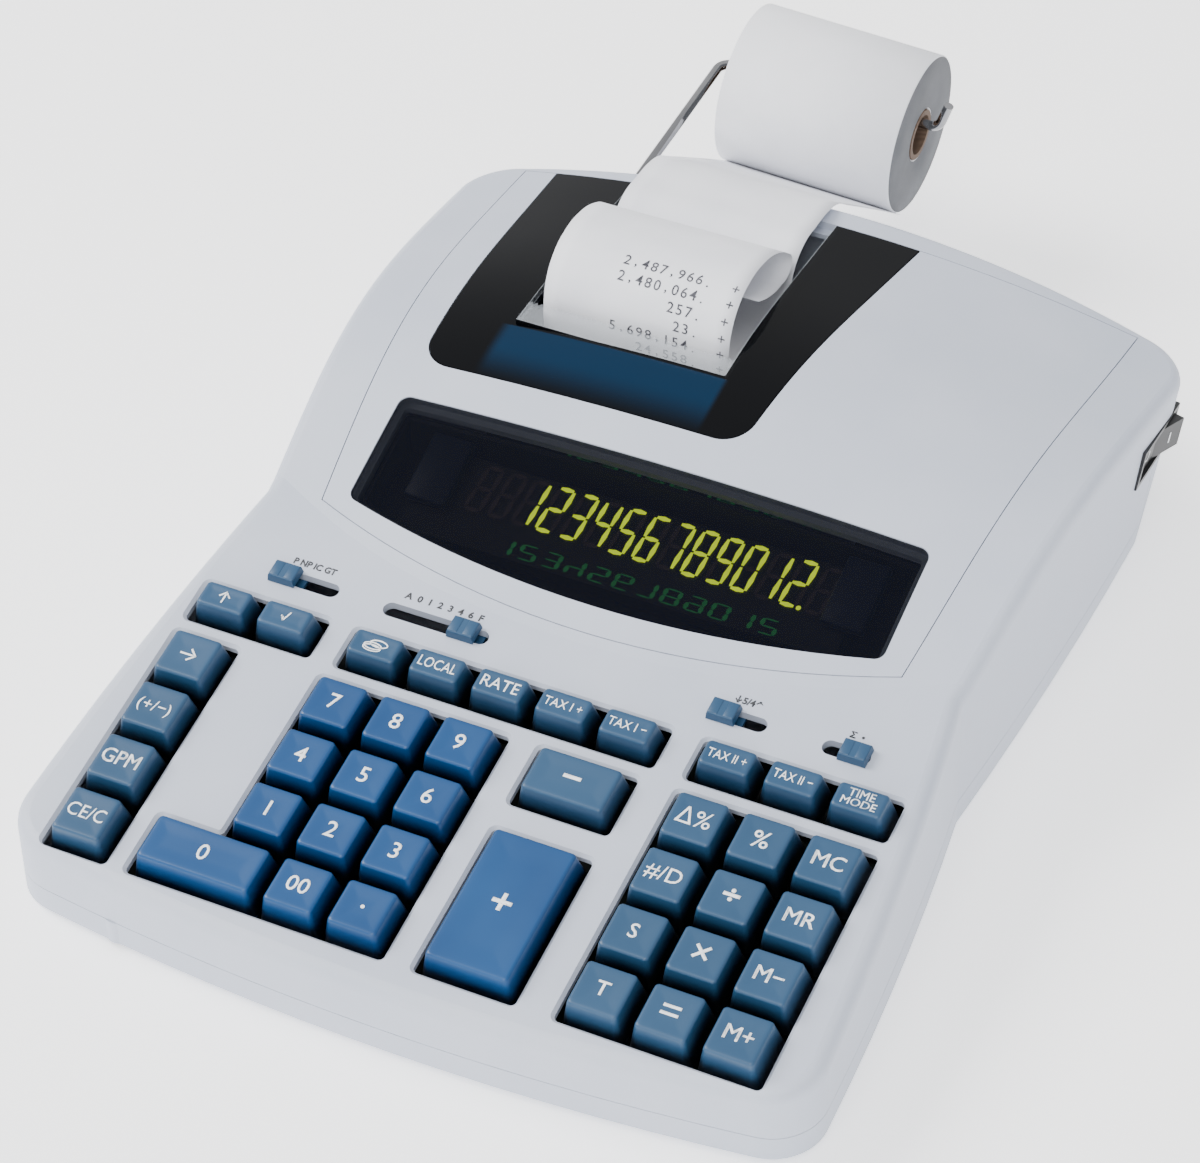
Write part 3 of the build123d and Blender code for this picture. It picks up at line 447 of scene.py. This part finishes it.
def thicken(bm, lift):
    """Give a flat mark its thickness, outwards."""
    made = bmesh.ops.extrude_face_region(bm, geom=bm.faces[:])
    raised = [item for item in made["geom"] if isinstance(item, bmesh.types.BMVert)]
    bmesh.ops.translate(bm, vec=lift, verts=raised)
    bmesh.ops.recalc_face_normals(bm, faces=bm.faces)


def mark(name, bm, matrix, ground, material, body):
    """A printed mark laid on a surface below the XY plane of its own frame."""
    up = (matrix.to_3x3() @ Vector((0, 0, 1))).normalized()
    divide_long(bm, MARK_GRID)
    bmesh.ops.transform(bm, matrix=matrix, verts=bm.verts)
    lay_on(bm, ground, -up)
    thicken(bm, up * LEGEND_T)
    return add_piece(name, bm, material, body, smooth=False)


# ---------------------------------------------------------------- keys
def deck_box(node):
    """Lowest and highest corner of a CAD node, seen square to the deck."""
    inverse = deck.inverted()
    points = [inverse @ vertex.co for vertex in nodes[node].data.vertices]
    return (Vector([min(p[axis] for p in points) for axis in range(3)]),
            Vector([max(p[axis] for p in points) for axis in range(3)]))


def cap_ring(bm, half_x, half_y, radius, z):
    """One level of a cap: a rectangle with rounded corners."""
    ring = []
    for quarter, (side_x, side_y) in enumerate(((1, 1), (-1, 1), (-1, -1), (1, -1))):
        for step in range(CORNER_STEPS + 1):
            angle = math.pi / 2 * (quarter + step / CORNER_STEPS)
            x = side_x * (half_x - radius) + radius * math.cos(angle)
            y = side_y * (half_y - radius) + radius * math.sin(angle)
            ring.append(bm.verts.new((x, y, z)))
    return ring


def make_cap(node, material):
    """A tapered cap with soft edges and a slightly dished top; gives it, its centre and its flat top."""
    low, high = deck_box(node)
    half_x, half_y = (high.x - low.x) / 2, (high.y - low.y) / 2
    centre = Vector(((low.x + high.x) / 2, (low.y + high.y) / 2, 0))
    lean = math.pi / 2 - CAP_TAPER
    shoulder = CAP_H * math.tan(CAP_TAPER) + CAP_EDGE * math.tan(lean / 2)
    levels = [(0.0, -CAP_H)]
    for step in range(EDGE_STEPS + 1):
        angle = CAP_TAPER + lean * step / EDGE_STEPS
        levels.append((shoulder - CAP_EDGE * math.cos(angle), CAP_EDGE * (math.sin(angle) - 1)))
    dish = min(half_x, half_y) - shoulder
    levels += [(shoulder + dish * share, -depth) for share, depth in DISH]
    bm = bmesh.new()
    rings = []
    for inset, z in levels:
        radius = max(CAP_CORNER - inset * CORNER_LOSS, CAP_CORNER_MIN)
        rings.append(cap_ring(bm, half_x - inset, half_y - inset, radius, z))
    for lower, upper in zip(rings, rings[1:]):
        for n in range(len(lower)):
            bm.faces.new((lower[n - 1], lower[n], upper[n], upper[n - 1]))
    bm.faces.new(rings[-1])
    bm.faces.new(reversed(rings[0]))
    bmesh.ops.transform(bm, matrix=deck @ Matrix.Translation(centre), verts=bm.verts)
    cap = add_piece(node + "_cap", bm, material, node)
    cap.modifiers.new("flat_faces", "WEIGHTED_NORMAL").keep_sharp = True
    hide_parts(node)
    bpy.context.view_layer.update()
    return cap, centre, (2 * (half_x - shoulder), 2 * (half_y - shoulder))


def coins():
    """Two rings of coins, one on the other, as a flat mark."""
    bm = bmesh.new()
    for x, y in ((-0.0006, -0.0010), (-0.0006, -0.0003), (0.0008, 0.0007)):
        outer = bmesh.ops.create_circle(bm, segments=28, radius=0.0027, cap_ends=True)["verts"]
        bmesh.ops.scale(bm, vec=(1, 0.46, 1), verts=outer)
        bmesh.ops.translate(bm, vec=(x, y, 0), verts=outer)
        hollow_out(bm, outer[0].link_faces[0], 0.00036)
    return bm


BOLD = 0.00006
HEAVY = 0.00014                         # only for signs without notches
LIGHT = 0.000015
SMALL, LARGE = 0.0027, 0.0047
legends = {
    "key_shift": ("→", 0.0046, LIGHT), "key_sign": ("(+/−)", 0.0034, LIGHT), "key_gpm": ("GPM", 0.0044, BOLD),
    "key_clear": ("CE/C", 0.0040, LIGHT), "key_feed": ("→", 0.0038, LIGHT), "key_root": ("√", 0.0030, LIGHT),
    "key_local": ("LOCAL", 0.0032, LIGHT), "key_rate": ("RATE", 0.0036, LIGHT),
    "key_tax1_plus": ("TAX I +", SMALL, LIGHT), "key_tax1_minus": ("TAX I −", SMALL, LIGHT),
    "key_tax2_plus": ("TAX II +", SMALL, LIGHT), "key_tax2_minus": ("TAX II −", SMALL, LIGHT),
    "key_time_mode": ("TIME\nMODE", 0.0024, LIGHT),
    "key_00": ("00", 0.0045, BOLD), "key_point": ("•", 0.0032, 0.0), "key_minus": ("−", 0.0070, HEAVY),
    "key_plus": ("+", 0.0076, HEAVY), "key_delta_percent": ("∆%", 0.0050, LIGHT), "key_percent": ("%", 0.0050, BOLD),
    "key_mc": ("MC", 0.0043, BOLD), "key_date": ("#/D", 0.0044, LIGHT), "key_divide": ("÷", 0.0064, HEAVY),
    "key_mr": ("MR", 0.0043, BOLD), "key_subtotal": ("S", 0.0042, BOLD), "key_multiply": ("×", 0.0072, LIGHT),
    "key_m_minus": ("M−", 0.0043, BOLD), "key_total": ("T", 0.0042, BOLD), "key_equals": ("=", 0.0072, LIGHT),
    "key_m_plus": ("M+", 0.0043, BOLD),
}
for digit in range(10):
    legends[f"key_{digit}"] = (str(digit), LARGE, BOLD)
strong = {f"key_{digit}" for digit in range(10)} | {"key_00", "key_point", "key_plus"}


def make_keys():
    """Every cap and its legend."""
    for node in sorted(name for name in nodes if name.startswith("key_")):
        cap, centre, (width, length) = make_cap(node, strong_blue if node in strong else slate_blue)
        if node == "key_currency":
            letters = coins()
        else:
            text, height, bold = legends[node]
            letters = lettering(text, height, bold)
        if node == "key_feed":
            bmesh.ops.rotate(letters, matrix=Matrix.Rotation(math.pi / 2, 3, "Z"), verts=letters.verts)
        fit_width(letters, width - LEGEND_MARGIN)
        above = deck @ Matrix.Translation(centre + Vector((0, 0, 0.002)))
        mark(node + "_legend", letters, above, ground_of(cap), white_ink, node)


def make_knob_ribs():
    """A finger groove's two ribs on each slide knob."""
    for node in SLIDES:
        low, high = deck_box(node)
        top = high.z
        middle = (low.x + high.x) / 2
        slot_v = (low.y + high.y) / 2
        bm = bmesh.new()
        for side in (-1, 1):
            at = Matrix.Translation((middle + side * 0.0022, slot_v, top - 0.0002))
            block(bm, (0.0030, 0.0052, 0.0007), at)
        round_edges(bm, bm.edges[:], 0.0004, 2)
        bmesh.ops.transform(bm, matrix=deck, verts=bm.verts)
        add_piece(node + "_ribs", bm, slate_blue, node)


def make_deck_labels():
    """Scale marks above the slide switches."""
    ground = ground_of(nodes["top_case"], nodes["hood_panel"])
    labels = [
        ("label_function", "P NP IC GT", -0.0768, 0.0128, 0.0020),
        ("label_decimal", "A  0  1  2  3  4  6  F", -0.0374, 0.0240, 0.0020),
        ("label_rounding", "↓5/4↑", 0.0518, 0.0078, 0.0020),
        ("label_total", "Σ  •", 0.0825, 0.0046, 0.0018),
    ]
    for name, text, x, width, height in labels:
        letters = lettering(text, height, 0.00008)
        fit_width(letters, width)
        mark(name, letters, deck @ Matrix.Translation((x, LABEL_V, 0.004)), ground, dark_ink, "case")


# ---------------------------------------------------------------- display
display = Matrix.Translation((0, place_y(TUBE_AT), TUBE_Z)) @ Matrix.Rotation(TUBE_TILT, 4, "X")
DIGIT_W = 0.0044
DIGIT_H = 0.0140
DIGIT_PITCH = 0.00723
FIRST_DIGIT = -0.0348
DIGIT_LOW = -0.0022
SEGMENT_T = 0.00125
SEGMENT_R = SEGMENT_T * 0.58            # radius of a bar's hexagonal ends
SEGMENT_GAP = 0.0002
DIGIT_SLANT = 0.09
lit_segments = {
    "0": "abcdef", "1": "bc", "2": "abdeg", "3": "abcdg", "4": "bcfg",
    "5": "acdfg", "6": "acdefg", "7": "abc", "8": "abcdefg", "9": "abcdfg",
}


def add_segment(bm, x, y, length, upright):
    """One bar with pointed ends."""
    ends = bmesh.ops.create_circle(bm, segments=6, radius=SEGMENT_R, cap_ends=True)["verts"]
    for side in (-1, 1):
        half = [v for v in ends if v.co.x * side > 0]
        bmesh.ops.translate(bm, vec=(side * (length / 2 - SEGMENT_GAP - SEGMENT_R), 0, 0), verts=half)
    if upright:
        bmesh.ops.rotate(bm, matrix=Matrix.Rotation(math.pi / 2, 3, "Z"), verts=ends)
    bmesh.ops.translate(bm, vec=(x, y, 0), verts=ends)


def add_digit(bm, segments, x):
    """One seven-segment figure."""
    across, half = DIGIT_W, DIGIT_H / 2
    for segment in segments:
        if segment in "adg":
            height = {"a": DIGIT_H, "g": half, "d": 0}[segment]
            add_segment(bm, x + across / 2, height, across, False)
        else:
            side = x + (across if segment in "bc" else 0)
            add_segment(bm, side, half * (0.5 if segment in "ce" else 1.5), half, True)


def make_figures():
    """Lit figures, the unlit segments behind them, and their faint mirror images on the bezel, painted as glowing
    reflections.
    """
    lit = bmesh.new()
    off = bmesh.new()
    mirror = bmesh.new()
    figures = "123456789012"
    spare_left, spare_right = 2, 1
    for place in range(-spare_left, len(figures) + spare_right):
        x = FIRST_DIGIT + place * DIGIT_PITCH
        shown = lit_segments[figures[place]] if 0 <= place < len(figures) else ""
        add_digit(lit, shown, x)
        add_digit(off, [s for s in "abcdefg" if s not in shown], x)
        if shown:
            add_digit(mirror, shown, x)
    dot_at = (FIRST_DIGIT + (len(figures) - 1) * DIGIT_PITCH + DIGIT_W + 0.0012, 0, 0)
    bmesh.ops.create_circle(lit, segments=12, radius=0.0007, cap_ends=True, matrix=Matrix.Translation(dot_at))
    # painted reflections: flipped, squashed copies of the lit figures above and below them
    for low, squash in ((-0.0056, -0.32), (0.0232, -0.22)):
        copied = bmesh.ops.duplicate(mirror, geom=mirror.verts[:] + mirror.edges[:] + mirror.faces[:])
        fresh = [item for item in copied["geom"] if isinstance(item, bmesh.types.BMVert)]
        bmesh.ops.scale(mirror, vec=(0.985, squash, 1), verts=fresh)
        bmesh.ops.translate(mirror, vec=(-0.0006, low, 0), verts=fresh)
    keep = {v for v in mirror.verts if v.co.y < -0.0005 or v.co.y > 0.0165}
    bmesh.ops.delete(mirror, geom=[v for v in mirror.verts if v not in keep], context="VERTS")
    slant = Matrix.Identity(4)
    slant[0][1] = DIGIT_SLANT
    for name, bm, material, lift in (("figures_lit", lit, lit_phosphor, 0.0005),
                                     ("figures_unlit", off, unlit_phosphor_painted_glow, 0.0003),
                                     ("figures_painted_reflection", mirror, painted_figure_reflection, 0.0002)):
        bmesh.ops.transform(bm, matrix=slant, verts=bm.verts)
        bmesh.ops.translate(bm, vec=(0, DIGIT_LOW, lift), verts=bm.verts)
        thicken(bm, Vector((0, 0, 0.0001)))
        bmesh.ops.transform(bm, matrix=display, verts=bm.verts)
        add_piece(name, bm, material, "case", smooth=False)


def make_pillars():
    """Dark blocks that hold the tube at its two ends."""
    bm = bmesh.new()
    for x in (-0.0602, 0.0640):
        block(bm, (0.0125, 0.0215, 0.0030), Matrix.Translation((x, 0.0055, 0.0018)))
    round_edges(bm, bm.edges[:], 0.0008, 2)
    bmesh.ops.transform(bm, matrix=display, verts=bm.verts)
    add_piece("tube_holders", bm, pillar_blue, "case")


# ---------------------------------------------------------------- paper
strip_route = [             # behind the front edge, above the desk, in millimetres
    (341.9, 32.0), (330.0, 41.0), (312.0, 54.4), (298.5, 64.3), (293.0, 68.3), (287.0, 70.6), (277.0, 71.6),
    (267.5, 71.2), (261.0, 67.0), (257.0, 57.0), (251.0, 43.5), (240.0, 37.8), (224.4, 37.4), (217.2, 41.5),
    (215.7, 50.0), (215.4, 60.0), (215.7, 69.0), (217.8, 76.2), (222.6, 81.6), (230.5, 84.6), (239.5, 84.4),
    (248.5, 81.4), (256.0, 76.2), (259.2, 72.2), (257.6, 68.6), (251.0, 68.0), (243.0, 70.0), (236.0, 73.4),
]


def strip_line():
    """The strip's section as a smooth row of points, from the roll to the free end."""
    curve = bpy.data.curves.new("strip_line", "CURVE")
    curve.dimensions = "3D"
    curve.resolution_u = 10
    spline = curve.splines.new("BEZIER")
    spline.bezier_points.add(len(strip_route) - 1)
    for point, (distance, height) in zip(spline.bezier_points, strip_route):
        point.co = (0, place_y(distance / 1000), height / 1000)
        point.handle_left_type = point.handle_right_type = "AUTO"
    holder = bpy.data.objects.new("strip_line", curve)
    bpy.context.scene.collection.objects.link(holder)
    bpy.context.view_layer.update()
    mesh = bpy.data.meshes.new_from_object(holder.evaluated_get(bpy.context.evaluated_depsgraph_get()))
    points = [vertex.co.copy() for vertex in mesh.vertices]
    bpy.data.meshes.remove(mesh)
    bpy.data.objects.remove(holder)
    return points


def make_strip(points):
    """The printed strip; behind the case it twists a little to lie square on the drooping roll."""
    bm = bmesh.new()
    row = [bm.verts.new(point + Vector((PAPER_X - PAPER_W / 2, 0, 0))) for point in points]
    edges = [bm.edges.new(pair) for pair in zip(row, row[1:])]
    steps = 12
    for _ in range(steps):
        made = bmesh.ops.extrude_edge_only(bm, edges=edges)["geom"]
        fresh = [item for item in made if isinstance(item, bmesh.types.BMVert)]
        edges = [item for item in made if isinstance(item, bmesh.types.BMEdge)]
        bmesh.ops.translate(bm, vec=(PAPER_W / steps, 0, 0), verts=fresh)
    lip, last = place_y(LIP_AT), points[0].y
    for vertex in bm.verts:
        share = max(0.0, (vertex.co.y - lip) / (last - lip))
        vertex.co.z -= share * (vertex.co.x - PAPER_X) * math.tan(ROLL_DROOP)
    bmesh.ops.recalc_face_normals(bm, faces=bm.faces)
    bmesh.ops.solidify(bm, geom=bm.faces[:], thickness=PAPER_T)
    bmesh.ops.recalc_face_normals(bm, faces=bm.faces)
    strip = add_piece("paper_strip", bm, strip_paper, "case")
    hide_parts("paper_tape")


def make_print(points):
    """Columns of printed figures on the front of the strip."""
    margin, first_z = 0.0026, 0.0625
    start = min(range(len(points)), key=lambda n: abs(points[n].z - first_z) + (0 if n > len(points) / 2 else 1))
    lines = ["24,558.", "5,698,154.", "23.", "257.", "2,480,064.", "2,487,966."]
    char_pitch, line_pitch, height = 0.00275, 0.0049, 0.0030
    travelled = 0.0
    wanted = [0.0006 + line_pitch * n for n in range(len(lines))]
    for n in range(start, len(points) - 1):
        step = points[n + 1] - points[n]
        while wanted and travelled + step.length >= wanted[0]:
            line = lines[len(lines) - len(wanted)]
            at = points[n] + step * ((wanted.pop(0) - travelled) / step.length)
            up = step.normalized()
            out = Vector((1, 0, 0)).cross(up)
            bm = bmesh.new()
            for place, character in enumerate(line + "  +"):
                if character == " ":
                    continue
                glyph = lettering(character, height, 0.00001)
                low = min(v.co.y for v in glyph.verts)
                drop = -height / 2 - low if character in ",." else 0
                right = PAPER_W / 2 - margin - (len(line) + 2 - place) * char_pitch
                bmesh.ops.translate(glyph, vec=(right, drop, 0), verts=glyph.verts)
                mesh = bpy.data.meshes.new("glyph")
                glyph.to_mesh(mesh)
                bm.from_mesh(mesh)
                bpy.data.meshes.remove(mesh)
                glyph.free()
            turn = Matrix((Vector((1, 0, 0)), up, out)).transposed().to_4x4()
            thicken(bm, Vector((0, 0, 0.00004)))
            bmesh.ops.transform(bm, matrix=Matrix.Translation(at + out * 0.00016 + Vector((PAPER_X, 0, 0))) @ turn,
                                verts=bm.verts)
            add_piece(f"printed_line_{len(lines) - len(wanted)}", bm, print_ink, "case", smooth=False)
        travelled += step.length


def lathe(name, section, material, body, steps=96):
    """A ring about the roll's axis, from (distance along it, radius) points."""
    bm = bmesh.new()
    row = [bm.verts.new((along, 0, radius)) for along, radius in section]
    edges = [bm.edges.new(pair) for pair in zip(row, row[1:] + row[:1])]
    bmesh.ops.spin(bm, geom=row + edges, cent=(0, 0, 0), axis=(1, 0, 0), angle=math.tau, steps=steps, use_merge=True)
    bmesh.ops.remove_doubles(bm, verts=bm.verts, dist=1e-6)
    bmesh.ops.recalc_face_normals(bm, faces=bm.faces)
    turn = Matrix.Translation(ROLL_CENTRE) @ Matrix.Rotation(ROLL_DROOP, 4, "Y")
    bmesh.ops.transform(bm, matrix=turn, verts=bm.verts)
    piece = add_piece(name, bm, material, body)
    return piece


def make_roll():
    """Wound paper with soft shoulders and slightly uneven windings, on a board core."""
    half, shoulder = PAPER_W / 2, 0.0004
    paper = lathe("roll_windings", [
        (-half + shoulder, CORE_R), (-half, CORE_R + shoulder), (-half - 0.0001, 0.016), (-half, ROLL_R - shoulder),
        (-half + shoulder, ROLL_R), (half - shoulder, ROLL_R), (half, ROLL_R - shoulder), (half + 0.0001, 0.016),
        (half, CORE_R + shoulder), (half - shoulder, CORE_R)], roll_paper, "paper_roll")
    # painted shade: the roll's flat ends get the darkened end colour
    paper.data.materials.append(roll_end_painted_shade)
    axis = Vector((math.cos(ROLL_DROOP), 0, -math.sin(ROLL_DROOP)))
    for face in paper.data.polygons:
        if abs(face.normal.dot(axis)) > 0.9:
            face.material_index = 1
    paper.data.set_sharp_from_angle(angle=math.radians(50))
    lip = 0.0002
    core = lathe("roll_core", [
        (-half - lip, CORE_BORE_R), (-half - lip, CORE_R - 0.0001), (half + lip, CORE_R - 0.0001),
        (half + lip, CORE_BORE_R)], core_board, "paper_roll", 64)
    core.data.set_sharp_from_angle(angle=math.radians(50))
    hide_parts("paper_roll")
    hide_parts("paper_roll")


# ---------------------------------------------------------------- power switch
def make_switch_marks():
    """The off ring and the on bar of the rocker."""
    node = nodes["power_rocker"]
    ground = ground_of(node)
    out = Vector((0.99288, 0, -0.11915))
    back = Vector((0, 0.99027, -0.13917))
    up = out.cross(back)
    # local X runs to the rear, local Y up, local Z out of the flank
    face = Matrix((back, up, out)).transposed().to_4x4()
    for name, along in (("mark_off", -0.0062), ("mark_on", 0.0062)):
        bm = bmesh.new()
        if name == "mark_off":
            ring = bmesh.ops.create_circle(bm, segments=24, radius=0.0019, cap_ends=True)["verts"]
            hollow_out(bm, ring[0].link_faces[0], 0.0004)
        else:
            bmesh.ops.create_grid(bm, x_segments=1, y_segments=1, size=1,
                                  matrix=Matrix.Diagonal((0.00025, 0.0018, 1, 1)))
        at = ROCKER_PIVOT + back * along + out * 0.012
        mark(name, bm, Matrix.Translation(at) @ face, ground, white_ink, "power_rocker")


# ---------------------------------------------------------------- finishes of the CAD nodes
def dress_nodes():
    """Give every visible CAD node its material."""
    finishes = {
        "top_case": case_plastic, "bottom_case": case_plastic, "hood_panel": case_plastic,
        "display_window": window_acrylic, "display_tube": bezel_black, "printer_cover": cover_acrylic,
        "printer_unit": mechanism_dark, "platen_roller": rubber, "paper_holder": wire_chrome,
        "switch_housing": black_plastic, "power_rocker": black_plastic, "main_board": board_painted_shade,
        "rubber_feet": rubber, "case_screws": plated_steel,
    }
    finishes.update({name: slate_blue for name in SLIDES})
    for name, material in finishes.items():
        slots = nodes[name].data.materials
        slots.clear()
        slots.append(material)


# ---------------------------------------------------------------- floor and lights
def make_stage():
    """A pale floor and soft studio light from the upper left."""
    bm = bmesh.new()
    bmesh.ops.create_grid(bm, x_segments=1, y_segments=1, size=6)
    mesh = bpy.data.meshes.new("floor")
    bm.to_mesh(mesh)
    bm.free()
    floor = bpy.data.objects.new("floor", mesh)
    material, tree, shader = start_material("floor_white")
    shader.inputs["Base Color"].default_value = (0.93, 0.93, 0.94, 1)
    shader.inputs["Roughness"].default_value = 0.9
    shader.inputs["Emission Color"].default_value = (1.0, 1.0, 1.0, 1)
    shader.inputs["Emission Strength"].default_value = 0.9
    mesh.materials.append(material)
    bpy.context.scene.collection.objects.link(floor)
    lamps = [
        ("key_light", (-1.7, -0.3, 1.7), 1.2, 66.0, (1.0, 0.99, 0.97)),
        ("top_light", (0.3, -1.4, 2.1), 1.2, 30.0, (1.0, 1.0, 1.0)),
        ("front_fill", (0.2, -2.0, 1.2), 1.4, 14.0, (0.96, 0.98, 1.0)),
    ]
    for name, place, size, power, color in lamps:
        data = bpy.data.lights.new(name, "AREA")
        data.size = size
        data.energy = power
        data.color = color
        lamp = bpy.data.objects.new(name, data)
        lamp.location = place
        lamp.rotation_mode = "QUATERNION"
        lamp.rotation_quaternion = (Vector((0, 0, 0.04)) - Vector(place)).to_track_quat("-Z", "Y")
        bpy.context.scene.collection.objects.link(lamp)
    world = bpy.data.worlds.new("studio")
    world.use_nodes = True
    world.node_tree.nodes["Background"].inputs["Color"].default_value = (0.97, 0.98, 1.0, 1)
    world.node_tree.nodes["Background"].inputs["Strength"].default_value = 1.0
    bpy.context.scene.world = world


make_camera()
dress_nodes()
make_keys()
make_knob_ribs()
make_deck_labels()
make_figures()
make_pillars()
strip_points = strip_line()
make_strip(strip_points)
make_print(strip_points)
make_roll()
make_switch_marks()
make_stage()
